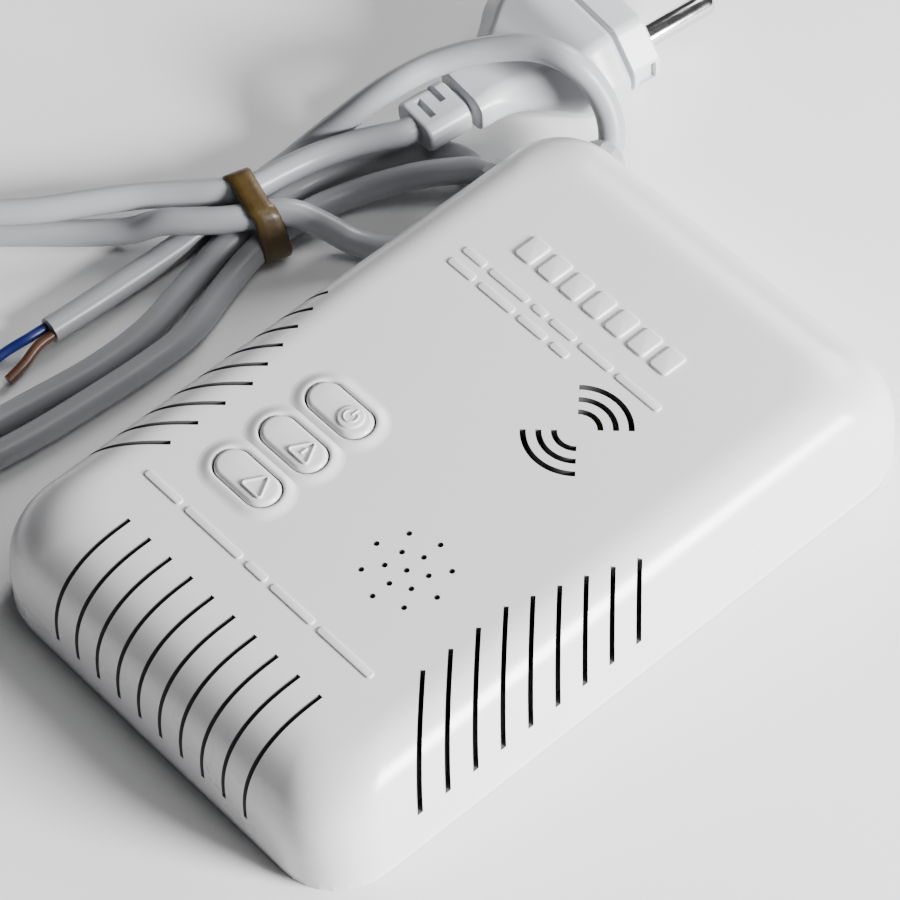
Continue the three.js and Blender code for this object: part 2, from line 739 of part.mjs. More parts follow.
function addPlug() {
  const plug = new THREE.Group();
  addPiece(plug, "plug_sleeve", plugSleeve(), finish(0xc6c8cb, 0.4));
  addPiece(plug, "plug_body", plugBody(), finish(0xc6c8cb, 0.4));
  addPiece(plug, "plug_face", plugFace(), finish(0xd0d2d4, 0.4));
  addPiece(plug, "plug_pin_1", plugPin(-1), tinned());
  addPiece(plug, "plug_pin_2", plugPin(1), tinned());
  plug.rotation.z = THREE.MathUtils.degToRad(PLUG.heading);
  plug.position.set(PLUG.x, PLUG.y, PLUG.z);
  root.add(plug);
}

addCase();
addKeys();
addBoard();
addGlands();
addLeads();
addPlug();

export default root;
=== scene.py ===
# %% [markdown]
# # A mains gas alarm with its tied lead
#
# A white plastic case lies on its back, with vent slits, a sounder, three sprung keys and a
# wave mark on its front. Behind it lies its mains lead, folded and held by a rubber band,
# with a moulded plug, and a short output lead for a shut-off valve.
#
# The CAD model is the frame. This script makes the finely rounded pieces that are seen (the
# cover, the keys, the leads, the band and the plug) and gives every piece its finish.
# Lengths are written in millimetres and turned into metres in one place.

# %% Load the frame
import json
import math

import bpy
import numpy as np
from mathutils import Matrix, Vector


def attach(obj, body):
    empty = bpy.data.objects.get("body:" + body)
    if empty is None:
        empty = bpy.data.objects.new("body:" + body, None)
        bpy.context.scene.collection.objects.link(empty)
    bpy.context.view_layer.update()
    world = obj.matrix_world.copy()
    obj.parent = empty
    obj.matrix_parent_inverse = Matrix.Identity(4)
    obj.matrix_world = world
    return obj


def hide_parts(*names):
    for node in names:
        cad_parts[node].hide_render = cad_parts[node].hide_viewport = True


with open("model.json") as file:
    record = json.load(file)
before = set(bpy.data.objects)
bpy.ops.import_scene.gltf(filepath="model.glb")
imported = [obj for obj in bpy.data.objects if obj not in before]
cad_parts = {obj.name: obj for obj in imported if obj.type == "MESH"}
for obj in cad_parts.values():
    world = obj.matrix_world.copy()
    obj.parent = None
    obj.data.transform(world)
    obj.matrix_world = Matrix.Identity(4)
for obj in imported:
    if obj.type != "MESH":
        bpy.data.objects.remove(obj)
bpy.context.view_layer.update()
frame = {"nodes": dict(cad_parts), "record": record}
MM = 0.001
scene = bpy.context.scene

# %% [markdown]
# ## Camera
# The view is a long lens from the front right corner, about 55 degrees up. The camera is
# turned by three small rotations: the heading round the part, the tilt, and a slight roll.

# %% Camera
HEADING, TILT, ROLL = 0.8857, 0.9228, -0.061
back = Vector((math.sin(HEADING) * math.cos(TILT), -math.cos(HEADING) * math.cos(TILT), math.sin(TILT)))
right = Vector((math.cos(HEADING), math.sin(HEADING), 0))
up = back.cross(right)
cam_x = math.cos(ROLL) * right + math.sin(ROLL) * up
cam_y = -math.sin(ROLL) * right + math.cos(ROLL) * up
camera = bpy.data.objects.new("camera", bpy.data.cameras.new("camera"))
scene.collection.objects.link(camera)
target = Vector((-0.00069, -0.00017, 0.0225))
place = Matrix((cam_x, cam_y, back)).transposed().to_4x4()
place.translation = target + back * 0.8252
camera.matrix_world = place
camera.data.lens = 177.5
camera.data.sensor_width = 36
camera.data.clip_start = 0.01
scene.camera = camera

# %% [markdown]
# ## Small tools
# `Sock` wraps a shader socket, so that shader maths reads as ordinary arithmetic: a socket
# times a number, plus a number. Every other node is made by `Shader.node`, which takes the
# node's type, its settings, the output that is wanted, and its inputs.


# %% Shader arithmetic
class Sock:
    """A shader socket that can be added to and multiplied."""

    def __init__(self, tree, socket):
        self.tree, self.socket = tree, socket

    def _math(self, operation, other):
        node = self.tree.nodes.new("ShaderNodeMath")
        node.operation = operation
        self.tree.links.new(self.socket, node.inputs[0])
        node.inputs[1].default_value = other
        return Sock(self.tree, node.outputs[0])

    def __add__(self, number):
        return self._math("ADD", number)

    __radd__ = __add__

    def __mul__(self, number):
        return self._math("MULTIPLY", number)

    __rmul__ = __mul__


class Shader:
    """One material: a Principled shader, and a way to feed it."""

    def __init__(self, name, color, roughness, metallic=0.0, **constants):
        self.material = bpy.data.materials.new(name)
        self.material.use_nodes = True
        self.tree = self.material.node_tree
        self.bsdf = self.tree.nodes["Principled BSDF"]
        self.set("Base Color", (*color, 1))
        self.set("Roughness", roughness)
        self.set("Metallic", metallic)
        for key, value in constants.items():
            self.set(key.replace("_", " "), value)

    def set(self, name, value):
        slot = self.bsdf.inputs[name]
        if isinstance(value, Sock):
            self.tree.links.new(value.socket, slot)
        else:
            slot.default_value = value

    def node(self, kind, settings, output=0, **inputs):
        made = self.tree.nodes.new(kind)
        for key, value in settings.items():
            setattr(made, key, value)
        for key, value in inputs.items():
            slot = made.inputs[key.replace("_", " ")]
            if isinstance(value, Sock):
                self.tree.links.new(value.socket, slot)
            else:
                slot.default_value = value
        return Sock(self.tree, made.outputs[output])

    def place(self):
        return self.node("ShaderNodeTexCoord", {}, "Object")

    def noise(self, scale, detail=3.0):
        return self.node("ShaderNodeTexNoise", {}, Vector=self.place(), Scale=scale, Detail=detail)

    def mix(self, factor, low, high):
        return self.node("ShaderNodeMixRGB", {}, Fac=factor, Color1=(*low, 1), Color2=(*high, 1))

    def bump(self, height, distance, strength=1.0):
        bumped = self.node("ShaderNodeBump", {}, Height=height, Distance=distance, Strength=strength)
        self.set("Normal", bumped)
        return self


# %% [markdown]
# ## Finishes
# Each finish is a colour, a roughness and a fine grain. Plastics get a faint mould texture,
# so that highlights aren't perfectly clean. Soft PVC gets a broader waviness and a slight
# mottling. Metals get a little unevenness in their roughness.


# %% Finishes
def plastic(name, color, roughness, grain=0.00002, coat=0.0):
    made = Shader(name, color, roughness, Coat_Weight=coat, Coat_Roughness=0.2)
    made.set("Roughness", made.noise(90, 4) * 0.08 + (roughness - 0.04))
    shade = tuple(c * 0.965 for c in color)
    made.set("Base Color", made.mix(made.noise(28, 3), shade, color))
    return made.bump(made.noise(2600, 2), grain, 0.35)


def soft_pvc(name, color, roughness):
    made = Shader(name, color, roughness, Coat_Weight=0.12, Coat_Roughness=0.25)
    made.set("Roughness", made.noise(160, 4) * 0.16 + (roughness - 0.08))
    made.set("Base Color", made.mix(made.noise(60, 4), tuple(c * 0.88 for c in color), color))
    return made.bump(made.noise(420, 3), 0.00006, 0.3)


def metal(name, color, roughness):
    made = Shader(name, color, roughness, 1.0)
    made.set("Roughness", made.noise(400, 3) * 0.12 + (roughness - 0.06))
    return made


def rubber_band(name):
    dark, light = (0.04, 0.023, 0.005), (0.10, 0.06, 0.012)
    made = Shader(name, light, 0.42, Coat_Weight=0.1)
    made.set("Base Color", made.mix(made.noise(240, 5), dark, light))
    made.set("Roughness", made.noise(300, 3) * 0.2 + 0.32)
    return made.bump(made.noise(700, 4), 0.00018, 0.5)


FINISH = {
    "case_white": plastic("case white", (0.70, 0.70, 0.71), 0.28, 0.000015, 0.2),
    # Near black: painted shade for the inside of the white cover and the walls of its cuts, which are really
    # the same white plastic.
    "inside": plastic("inside", (0.10, 0.10, 0.105), 0.6),
    "plate_white": plastic("plate white", (0.74, 0.74, 0.74), 0.42),
    "screw_steel": metal("screw steel", (0.62, 0.62, 0.63), 0.3),
    "key_white": plastic("key white", (0.71, 0.71, 0.72), 0.3, 0.000015, 0.15),
    "switch_black": plastic("switch black", (0.02, 0.02, 0.02), 0.5),
    "lamp_green": plastic("lamp green", (0.05, 0.42, 0.10), 0.15),
    "lamp_red": plastic("lamp red", (0.55, 0.04, 0.03), 0.15),
    "lamp_yellow": plastic("lamp yellow", (0.70, 0.45, 0.03), 0.15),
    "board_green": plastic("board green", (0.03, 0.14, 0.05), 0.35),
    "core_steel": metal("core steel", (0.25, 0.26, 0.27), 0.5),
    "coil_tape": plastic("coil tape", (0.58, 0.38, 0.05), 0.3),
    "sensor_black": plastic("sensor black", (0.02, 0.02, 0.02), 0.45),
    "sensor_mesh": metal("sensor mesh", (0.58, 0.58, 0.59), 0.35),
    "sounder_black": plastic("sounder black", (0.015, 0.015, 0.015), 0.4),
    "relay_blue": plastic("relay blue", (0.03, 0.12, 0.40), 0.4),
    "terminal_green": plastic("terminal green", (0.05, 0.26, 0.09), 0.4),
    "clip_tinned": metal("clip tinned", (0.68, 0.68, 0.68), 0.3),
    "fuse_glass": plastic("fuse glass", (0.70, 0.72, 0.72), 0.08, 0.0, 0.6),
    "varistor_blue": plastic("varistor blue", (0.03, 0.12, 0.38), 0.45),
    "chip_black": plastic("chip black", (0.015, 0.015, 0.015), 0.5),
    "can_black": plastic("can black", (0.015, 0.015, 0.02), 0.3),
    "gland_grey": soft_pvc("gland grey", (0.33, 0.335, 0.35), 0.42),
    "cord_grey": soft_pvc("cord grey", (0.37, 0.375, 0.395), 0.36),
    "core_blue": plastic("core blue", (0.01, 0.02, 0.16), 0.35),
    "core_brown": plastic("core brown", (0.12, 0.045, 0.02), 0.35),
    "tie_brown": rubber_band("tie brown"),
    "plug_grey": soft_pvc("plug grey", (0.53, 0.54, 0.56), 0.36),
    "plug_face_grey": plastic("plug face grey", (0.60, 0.61, 0.63), 0.34),
    "pin_metal": metal("pin metal", (0.74, 0.74, 0.73), 0.16),
}
for entry in frame["record"]["subparts"]:
    node = frame["nodes"][entry["node"]]
    node.data.materials.clear()
    node.data.materials.append(FINISH[entry["material_slot"]].material)
print("finishes", len(FINISH))


# %% [markdown]
# ## Leads
# A lead is a round tube along a smooth line. The line could be drawn as a spline by hand, but
# a few points with a curve through them keep each bend easy to move. The centripetal
# Catmull-Rom curve passes through every point without overshooting, so strands that lie
# side by side stay apart.


# %% Lines through points
def smooth_line(points, step=1.5):
    """Points close together on a centripetal Catmull-Rom curve through the given ones."""
    p = [np.array(q, float) for q in points]
    p = [2 * p[0] - p[1], *p, 2 * p[-1] - p[-2]]
    made = []
    for a, b, c, d in zip(p, p[1:], p[2:], p[3:]):
        t = np.cumsum([0] + [max(np.linalg.norm(v), 1e-6) ** 0.5 for v in (b - a, c - b, d - c)])
        count = max(2, int(np.linalg.norm(c - b) / step))
        for u in np.linspace(t[1], t[2], count, endpoint=False):
            ab = (t[1] - u) / (t[1] - t[0]) * a + (u - t[0]) / (t[1] - t[0]) * b
            bc = (t[2] - u) / (t[2] - t[1]) * b + (u - t[1]) / (t[2] - t[1]) * c
            cd = (t[3] - u) / (t[3] - t[2]) * c + (u - t[2]) / (t[3] - t[2]) * d
            first = (t[2] - u) / (t[2] - t[0]) * ab + (u - t[0]) / (t[2] - t[0]) * bc
            second = (t[3] - u) / (t[3] - t[1]) * bc + (u - t[1]) / (t[3] - t[1]) * cd
            made.append((t[2] - u) / (t[2] - t[1]) * first + (u - t[1]) / (t[2] - t[1]) * second)
    made.append(p[-2])
    return np.array(made)


def length_of(line):
    return float(np.linalg.norm(np.diff(line, axis=0), axis=1).sum())


# %% [markdown]
# A curve with a round bevel is a tube without any mesh work, and its line can still be moved
# afterwards. The lead's own export needs it as one open curve as well.


# %% Tubes
def tube(name, line, radius, finish, body="housing", closed=False):
    data = bpy.data.curves.new(name, "CURVE")
    data.dimensions = "3D"
    data.bevel_depth = radius * MM
    data.bevel_resolution = 5
    data.use_fill_caps = True
    spline = data.splines.new("POLY")
    spline.points.add(len(line) - 1)
    for point, at in zip(spline.points, line):
        point.co = (*[v * MM for v in at], 1)
    spline.use_cyclic_u = closed
    spline.use_smooth = True
    made = bpy.data.objects.new(name, data)
    scene.collection.objects.link(made)
    data.materials.append(FINISH[finish].material)
    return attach(made, body)


# %% [markdown]
# The mains lead leaves the left wall, runs through the band, makes a long loop on the floor,
# comes back over itself through the band, folds, and goes round once more before it ends in
# the plug. `FLOOR` is the height of a lead's middle when it lies on the floor, and `OVER` is
# its height when it lies on another.

# %% Routes
FLOOR, OVER = 2.8, 8.5
LOW, HIGH = 4.1, 9.4
LOOP = (-112, -80)


def half_turn(radius, heights):
    """Half a turn of a loop on the floor, clockwise seen from above."""
    x, y = LOOP
    angles = np.linspace(0, -math.pi, len(heights))
    return [(x + radius * math.cos(a), y + radius * math.sin(a), z) for a, z in zip(angles, heights)]


valve_route = [
    (-41.2, 77.3, 9.5), (-42.6, 80.4, 10.4), (-46, 83, 13.8), (-50.8, 83.5, 18.6), (-56, 81.8, 22.8),
    (-63.2, 79.2, 22.8), (-70.6, 73.6, 21), (-77, 64.8, 18.6), (-79.7, 56.5, 17), (-81.8, 51.3, 14.4),
    (-83.9, 46.9, 11), (-86.3, 42, 7), (-87.9, 36, 3.8), (-87.7, 28, 3.6), (-87.2, 20.9, LOW),
    (-87.3, 12, 3.4), (-87.2, 4.5, FLOOR), (-87.6, -13.3, FLOOR), (-88.3, -28, FLOOR),
]
mains_route = [
    (-51.5, 57.5, 9.5), (-53, 57.5, 9.5), (-56.6, 56.6, 9.4), (-60.4, 52.8, 8.9), (-63.8, 49.4, 7.9),
    (-68.5, 44.5, 5.6), (-73, 38, 3.4), (-75.4, 30, 3.1), (-75.7, 23.5, 3.7), (-75.2, 17, LOW),
    (-74.2, 10, 3.5), (-72.4, 2.8, FLOOR), (-69, -8, FLOOR), (-68.4, -18.5, FLOOR), (-68.9, -30.3, FLOOR),
    (-70.1, -46, FLOOR), (-72.5, -62, FLOOR),
    *half_turn(37, [FLOOR] * 7),
    (-147.5, -64, FLOOR), (-141, -50, FLOOR), (-131, -37, FLOOR), (-120, -25, FLOOR), (-109.7, -14.1, FLOOR),
    (-101.5, -5.6, FLOOR), (-96, -0.6, 4.2), (-90.8, 3.6, 7.8), (-85.6, 7.8, 8.9), (-81, 12.8, 9.4),
    (-77.9, 17.8, HIGH), (-73.6, 22.9, 9.5), (-68.9, 26.8, 6.4), (-64.3, 29.6, 3.6), (-59.4, 32.6, FLOOR),
    (-55.3, 37.4, FLOOR), (-53.5, 44, FLOOR), (-54, 51, FLOOR), (-57.2, 57, FLOOR), (-62.4, 60.2, FLOOR),
    (-68, 59, FLOOR), (-72.8, 54, FLOOR), (-79, 43.4, FLOOR), (-82.3, 31, 3), (-81, 19, LOW),
    (-80.6, 10, 3.5), (-79, 2, FLOOR), (-75.2, -13.7, FLOOR), (-74.8, -26.9, FLOOR), (-76.6, -42, FLOOR),
    (-79, -60, FLOOR),
    *half_turn(31.2, [FLOOR, FLOOR, FLOOR, FLOOR, 3.6, 5.6, 7.8]),
    (-142.8, -66, OVER), (-139, -50, OVER), (-130.6, -37, OVER), (-120.4, -25, OVER), (-110.6, -13.6, OVER),
    (-104, -3.6, OVER), (-98.6, 4.4, OVER), (-93.4, 10.2, 8.9), (-88.4, 15.4, 9.4), (-84.4, 21, HIGH),
    (-83.4, 28.6, 8.9), (-82, 36, 8.7), (-79.2, 43.2, 9), (-75.6, 49, 9.8), (-73.5, 52, 10.3),
    (-72.9, 54.6, 10.5),
]
print("route points", len(mains_route), "and", len(valve_route))

# %% [markdown]
# The output lead is cut off square, and its two cores stick out of the end: a blue one and a
# brown one, which part a little as they go down to the floor.

# %% Make the leads
CORD, CORE = 2.8, 1.05
CORE_BENDS = [(1.2, 0.6, 0), (1.4, -4, 0.1), (2.4, -8.5, -0.8), (2.9, -13, -1.6)]
valve_line = smooth_line(valve_route)
mains_line = smooth_line(mains_route)
valve_lead = tube("output_lead", valve_line, CORD, "cord_grey")
mains_lead = tube("mains_flex", mains_line, CORD, "cord_grey")
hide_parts("valve_lead")
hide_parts("mains_lead")
end = valve_line[-1]
for side, finish in ((-1, "core_blue"), (1, "core_brown")):
    route = [end + (side * x, y, z) for x, y, z in CORE_BENDS]
    tube(f"output_lead_{finish}", smooth_line(route, 0.6), CORE, finish)
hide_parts("valve_core_1")
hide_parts("valve_core_2")
print("leads", round(length_of(mains_line)), "and", round(length_of(valve_line)), "mm")


# %% [markdown]
# ## Meshes from rings
# Most pieces here are stacks of outlines with the same number of points, closed into a skin.
# That keeps every rounded edge a formula, where a bevel modifier on a box would need the
# edges picked one by one. A weighted normal keeps flat faces flat next to round ones.


# %% Mesh tools
def mesh_object(name, points, faces, finish=None, body="housing", sharp=40, weighted=False):
    data = bpy.data.meshes.new(name)
    data.from_pydata([tuple(v * MM for v in p) for p in points], [], faces)
    data.update()
    data.shade_smooth()
    data.set_sharp_from_angle(angle=math.radians(sharp))
    made = bpy.data.objects.new(name, data)
    scene.collection.objects.link(made)
    if weighted:
        weigh(made)
    if finish:
        data.materials.append(FINISH[finish].material)
        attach(made, body)
    return made


def weigh(obj):
    even = obj.modifiers.new("even", "WEIGHTED_NORMAL")
    even.keep_sharp = True
    even.weight = 100


def skin(rings, close_start=True, close_end=True, join_ends=False):
    """Points and faces of a stack of rings."""
    count = len(rings[0])
    points = [tuple(p) for ring in rings for p in ring]
    faces = []
    pairs = [(k, k + 1) for k in range(len(rings) - 1)]
    if join_ends:
        pairs.append((len(rings) - 1, 0))
    for low, high in pairs:
        for i in range(count):
            j = (i + 1) % count
            faces.append((low * count + i, low * count + j, high * count + j, high * count + i))
    if close_start and not join_ends:
        faces.append(tuple(reversed(range(count))))
    if close_end and not join_ends:
        last = (len(rings) - 1) * count
        faces.append(tuple(range(last, last + count)))
    return points, faces


def rounded(width, length, radius, z, steps=16, x=0.0, y=0.0):
    """A rectangle with round corners, anticlockwise from its right side."""
    ring = []
    for corner, (sx, sy) in enumerate(((1, 1), (-1, 1), (-1, -1), (1, -1))):
        for k in range(steps + 1):
            angle = math.pi / 2 * (corner + k / steps)
            px = sx * (width / 2 - radius) + radius * math.cos(angle)
            py = sy * (length / 2 - radius) + radius * math.sin(angle)
            ring.append((x + px, y + py, z))
    return ring


# %% [markdown]
# Openings are cut with one boolean from joined cutters. The exact solver copes with cutters
# that touch or overlap. The result is kept as a plain mesh, so that it is worked out once.


# %% Cutting tools
def box_cutter(width, depth, height, at, turn=0.0):
    """A box that stands on the point at, turned about its own upright line."""
    a = math.radians(turn)
    points = []
    for dz in (0, 1):
        for dx, dy in ((-1, -1), (1, -1), (1, 1), (-1, 1)):
            px, py = dx * width / 2, dy * depth / 2
            x = at[0] + px * math.cos(a) - py * math.sin(a)
            y = at[1] + px * math.sin(a) + py * math.cos(a)
            points.append((x, y, at[2] + dz * height))
    faces = [(3, 2, 1, 0), (4, 5, 6, 7), (0, 1, 5, 4), (1, 2, 6, 5), (2, 3, 7, 6), (3, 0, 4, 7)]
    return points, faces


def joined(parts):
    """The points and faces of several parts as one."""
    points, faces = [], []
    for p, f in parts:
        start = len(points)
        points += p
        faces += [tuple(i + start for i in face) for face in f]
    return points, faces


def carve(obj, parts, sharp=40, walls=None):
    """Cuts all the parts out of obj at once, with a finish for the cut walls, and keeps the result."""
    tool = mesh_object("tool", *joined(parts))
    cut = obj.modifiers.new("cut", "BOOLEAN")
    if walls:
        tool.data.materials.append(FINISH[walls].material)
        cut.material_mode = "TRANSFER"
    cut.operation = "DIFFERENCE"
    cut.solver = "EXACT"
    cut.object = tool
    graph = bpy.context.evaluated_depsgraph_get()
    graph.update()
    made = bpy.data.meshes.new_from_object(obj.evaluated_get(graph))
    obj.modifiers.clear()
    old = obj.data
    obj.data = made
    bpy.data.meshes.remove(old)
    bpy.data.objects.remove(tool)
    made.shade_smooth()
    made.set_sharp_from_angle(angle=math.radians(sharp))
    weigh(obj)


# %% [markdown]
# ## The cover
# Its edge rolls over in a quarter of a superellipse, which is fuller than a circle: the wall
# stays nearly upright and then turns over into the flat front. The same outline, one wall
# smaller, is its inside. A bevelled box could do this too, but with one radius all round, and
# here the ends roll over further in than the long sides.

# %% Shape of the cover
WIDTH, LENGTH, HEIGHT, WALL = 99.0, 150.0, 27.0, 2.2
SIDE_ROLL, END_ROLL, DROP, POWER = 14.0, 19.0, 19.0, 2.6
CORNER, TOP_CORNER = 13.2, 8.0
COVER_FOOT = 2.3


def crown(shrink, levels=40):
    """The cover's outline from its foot to its front, everywhere shrink further in."""
    rings = [rounded(WIDTH - 2 * shrink, LENGTH - 2 * shrink, CORNER - shrink, COVER_FOOT)]
    for level in range(levels + 1):
        angle = math.pi / 2 * (level / levels) ** 1.15
        rise = math.sin(angle) ** (2 / POWER)
        lean = 1 - max(math.cos(angle), 0) ** (2 / POWER)
        radius = max(CORNER + (TOP_CORNER - CORNER) * lean - shrink, 2)
        z = HEIGHT - shrink - DROP * (1 - rise)
        width = WIDTH - 2 * (shrink + SIDE_ROLL * lean)
        length = LENGTH - 2 * (shrink + END_ROLL * lean)
        rings.append(rounded(width, length, radius, z))
    return rings


def shell():
    """The outside and the inside of the cover, joined by the rim, and how many faces are outside."""
    outside, inside = crown(0), crown(WALL)
    outer_points, outer_faces = skin(outside, close_start=False)
    inner_points, inner_faces = skin(inside, close_start=False)
    start, count = len(outer_points), len(outside[0])
    faces = outer_faces + [tuple(reversed([i + start for i in face])) for face in inner_faces]
    for i in range(count):
        j = (i + 1) % count
        faces.append((j, i, start + i, start + j))
    return outer_points + inner_points, faces, len(outer_faces)


# %% [markdown]
# ## Openings in the cover
# Ten slits run over the lower end, nine slanted ones over each long side, the last of them ever
# shorter. The sounder has a middle hole and two rings of holes, the wave mark has three arcs on
# each side, and each key has a window. All are drawn as cutters that stand through the front.

# %% Cutters
SLITS, SLIT_PITCH, SLIT_WIDTH, SLIT_LENGTH, SLIT_REACH, SLIT_FOOT = 10, 5.94, 0.95, 22.5, 19.5, 7.7
SIDE_SLITS, SIDE_PITCH, SIDE_FIRST, SIDE_REACH, SIDE_FOOT = 9, 6.7, -53.1, 14.4, 11.4
SIDE_FULL, SIDE_SHORTER, PAST = 3, 1.6, 4
SOUNDER, HOLE = (16.8, -26.3), 0.58
HOLE_RINGS = ((1, 0, 0), (6, 4.2, 30), (8, 8.25, 0))
WAVE, WAVE_RADII, WAVE_WIDTH = (14.8, 17.8), (4.3, 7.2, 10.1), 1.15
KEY_X, KEY_YS = -18.8, (-11.1, -22.5, -33.8)
KEY_LENGTH, KEY_WIDTH = 15.4, 7.4
WINDOW_LENGTH, WINDOW_WIDTH = KEY_LENGTH + 0.7, KEY_WIDTH + 0.7
UNDER, ABOVE, TALL = 22, 30, 30


def arc_points(x, y, radius, angles):
    return [(x + radius * math.cos(a), y + radius * math.sin(a)) for a in angles]


def upright(outline):
    """A cutter through the front with the given outline."""
    return skin([[(px, py, z) for px, py in outline] for z in (UNDER, ABOVE)])


def disc_cutter(x, y, radius, sides=20):
    return upright(arc_points(x, y, radius, [2 * math.pi * k / sides for k in range(sides)]))


def arc_cutter(x, y, radius, width, start, sweep, steps=24):
    angles = [math.radians(start + sweep * k / steps) for k in range(steps + 1)]
    outer = arc_points(x, y, radius + width / 2, angles)
    return upright(outer + arc_points(x, y, radius - width / 2, angles[::-1]))


def end_slits():
    y = -LENGTH / 2 + SLIT_REACH - SLIT_LENGTH / 2
    for i in range(SLITS):
        at = ((i - (SLITS - 1) / 2) * SLIT_PITCH, y, SLIT_FOOT)
        yield box_cutter(SLIT_WIDTH, SLIT_LENGTH, TALL, at)


def side_slits():
    for side, turn in ((-1, 45), (1, 135)):
        for i in range(SIDE_SLITS):
            reach = SIDE_REACH - SIDE_SHORTER * max(0, i - SIDE_FULL)
            middle = (reach - PAST) / 2
            at = (side * (WIDTH / 2 - middle), SIDE_FIRST + SIDE_PITCH * i + middle, SIDE_FOOT)
            yield box_cutter((reach + PAST) * math.sqrt(2), SLIT_WIDTH, TALL, at, turn)


def front_openings():
    for count, radius, first in HOLE_RINGS:
        angles = [math.radians(first + 360 / count * i) for i in range(count)]
        for x, y in arc_points(*SOUNDER, radius, angles):
            yield disc_cutter(x, y, HOLE)
    for radius in WAVE_RADII:
        for first in (45, 225):
            yield arc_cutter(*WAVE, radius, WAVE_WIDTH, first, 90)
    radius = WINDOW_WIDTH / 2 - 0.05
    for y in KEY_YS:
        yield skin([rounded(WINDOW_LENGTH, WINDOW_WIDTH, radius, z, 12, KEY_X, y) for z in (UNDER, ABOVE)])


# %% [markdown]
# ## Cutting the cover
# One boolean with all the cutters is quicker and cleaner than one for each. Little light gets
# in through the openings, so the inside and the walls of the cuts get a near black, rough
# material: painted shade on what is the same white plastic as the outside.

# %% Make the cover
cover_points, cover_faces, outer_count = shell()
cover = mesh_object("cover", cover_points, cover_faces, "case_white")
# Painted shade: the inner faces, and below the walls of the cuts, get the near black material.
cover.data.materials.append(FINISH["inside"].material)
for face in cover.data.polygons:
    face.material_index = int(face.index >= outer_count)
carve(cover, [*end_slits(), *side_slits(), *front_openings()], 35, "inside")
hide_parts("front_cover")
print("cover", len(cover.data.polygons), "faces")


# %% [markdown]
# ## Raised details on the front
# Round each key the cover swells into a low soft lip. Plain low bars stand where the front
# carries moulded words: they keep the relief of the face and say nothing. Both are separate
# thin pieces sunk a little into the cover, which is simpler than shaping the cover's skin.

# %% Lips and plain bars
def pad(width, length, radius, x, y, foot, height, edge, steps=8, rim=6):
    """A low plate with a rounded upper edge."""
    rings = [rounded(width, length, radius, foot, steps, x, y)]
    for k in range(rim + 1):
        a = math.pi / 2 * k / rim
        inset = edge * (1 - math.cos(a))
        z = height - edge * (1 - math.sin(a))
        corner = max(radius - inset, 0.02)
        rings.append(rounded(width - 2 * inset, length - 2 * inset, corner, z, steps, x, y))
    return skin(rings)


LIP_GAP = 0.36
LIP = [
    (3.15, -0.03), (2.9, 0.004), (2.5, 0.04), (2.1, 0.12), (1.65, 0.27), (1.2, 0.44),
    (0.75, 0.58), (0.4, 0.63), (0.15, 0.57), (0.0, 0.38), (0.0, -0.4),
]


def lip(x, y):
    """A soft ring round a key window: it rises from the front and rolls over towards the key."""
    rings = []
    for out, rise in LIP:
        radius = KEY_WIDTH / 2 + LIP_GAP + out
        length = KEY_LENGTH + 2 * LIP_GAP + 2 * out
        rings.append(rounded(length, 2 * radius, radius - 0.02, HEIGHT + rise, 14, x, y))
    return skin(rings, join_ends=True)


for number, y in enumerate(KEY_YS):
    mesh_object(f"key_lip_{number + 1}", *lip(KEY_X, y), "case_white", sharp=60)

# Each row: its height on the front, how tall its bars are, and where each bar starts and ends.
WORDS = [
    (32.0, 1.9, [(-32, -26), (-24.5, -14), (-12.5, -9), (-7.5, -1), (0.5, 9), (10.5, 22)]),
    (28.2, 1.9, [(-32, -25), (-23.5, -14), (-12.5, -5), (-3.5, 1)]),
    (-46.3, 1.8, [(-33, -23), (-21.5, -6), (-4.5, 1), (2.5, 14), (15.5, 30)]),
]
bars = []
for y, tall, spans in WORDS:
    for a, b in spans:
        bars.append(pad(b - a, tall, 0.7, (a + b) / 2, y, HEIGHT - 0.2, HEIGHT + 0.32, 0.3, 4, 4))
for i in range(7):
    bars.append(pad(4.6, 6.2, 0.9, -22.5 + i * 6.2, 41.0, HEIGHT - 0.2, HEIGHT + 0.5, 0.45, 4, 4))
mesh_object("plain_front_bars", *joined(bars), "case_white", sharp=60)
print("lips", len(KEY_YS), "bars", len(bars))

# %% [markdown]
# ## Keys
# Each key is a pill with a well rounded edge that stands a little above its lip, and a raised
# symbol: a ring with a stroke on the first, a triangle with a mark on the second, and an open
# triangle on the third. They ride their own bodies, so they travel with their joints. The
# stems under them stay as the CAD has them, hidden, so the made key only reaches a little below
# the front.

# %% Keys
SYMBOL_X = KEY_X + 3.1
KEY_TOP = HEIGHT + 1.2
KEY_FOOT, KEY_EDGE, KEY_SWELL = 23.8, 1.0, 0.12
MARK_TOP = KEY_TOP + 0.36


def key_outline(inset, z, y):
    radius = KEY_WIDTH / 2 - 0.02 - inset
    return rounded(KEY_LENGTH - 2 * inset, KEY_WIDTH - 2 * inset, radius, z, 16, KEY_X, y)


def key_cap(name, y):
    """A pill with a round edge and a slightly swollen top."""
    shoulder = KEY_TOP - KEY_SWELL
    rings = [key_outline(0, KEY_FOOT, y)]
    for k in range(11):
        a = math.pi / 2 * k / 10
        inset = KEY_EDGE * (1 - math.cos(a))
        rings.append(key_outline(inset, shoulder - KEY_EDGE * (1 - math.sin(a)), y))
    for inset, rise in ((1.7, 0.05), (2.5, 0.1), (3.2, KEY_SWELL)):
        rings.append(key_outline(inset, shoulder + rise, y))
    return mesh_object(f"{name}_key", *skin(rings), "key_white", f"{name}_button", 60)


def ridge(name, points, body, closed=True, radius=0.27):
    """A thin raised line on a key."""
    line = [(x, y, KEY_TOP + 0.12) for x, y in points]
    tube(name, line, radius, "key_white", body, closed)


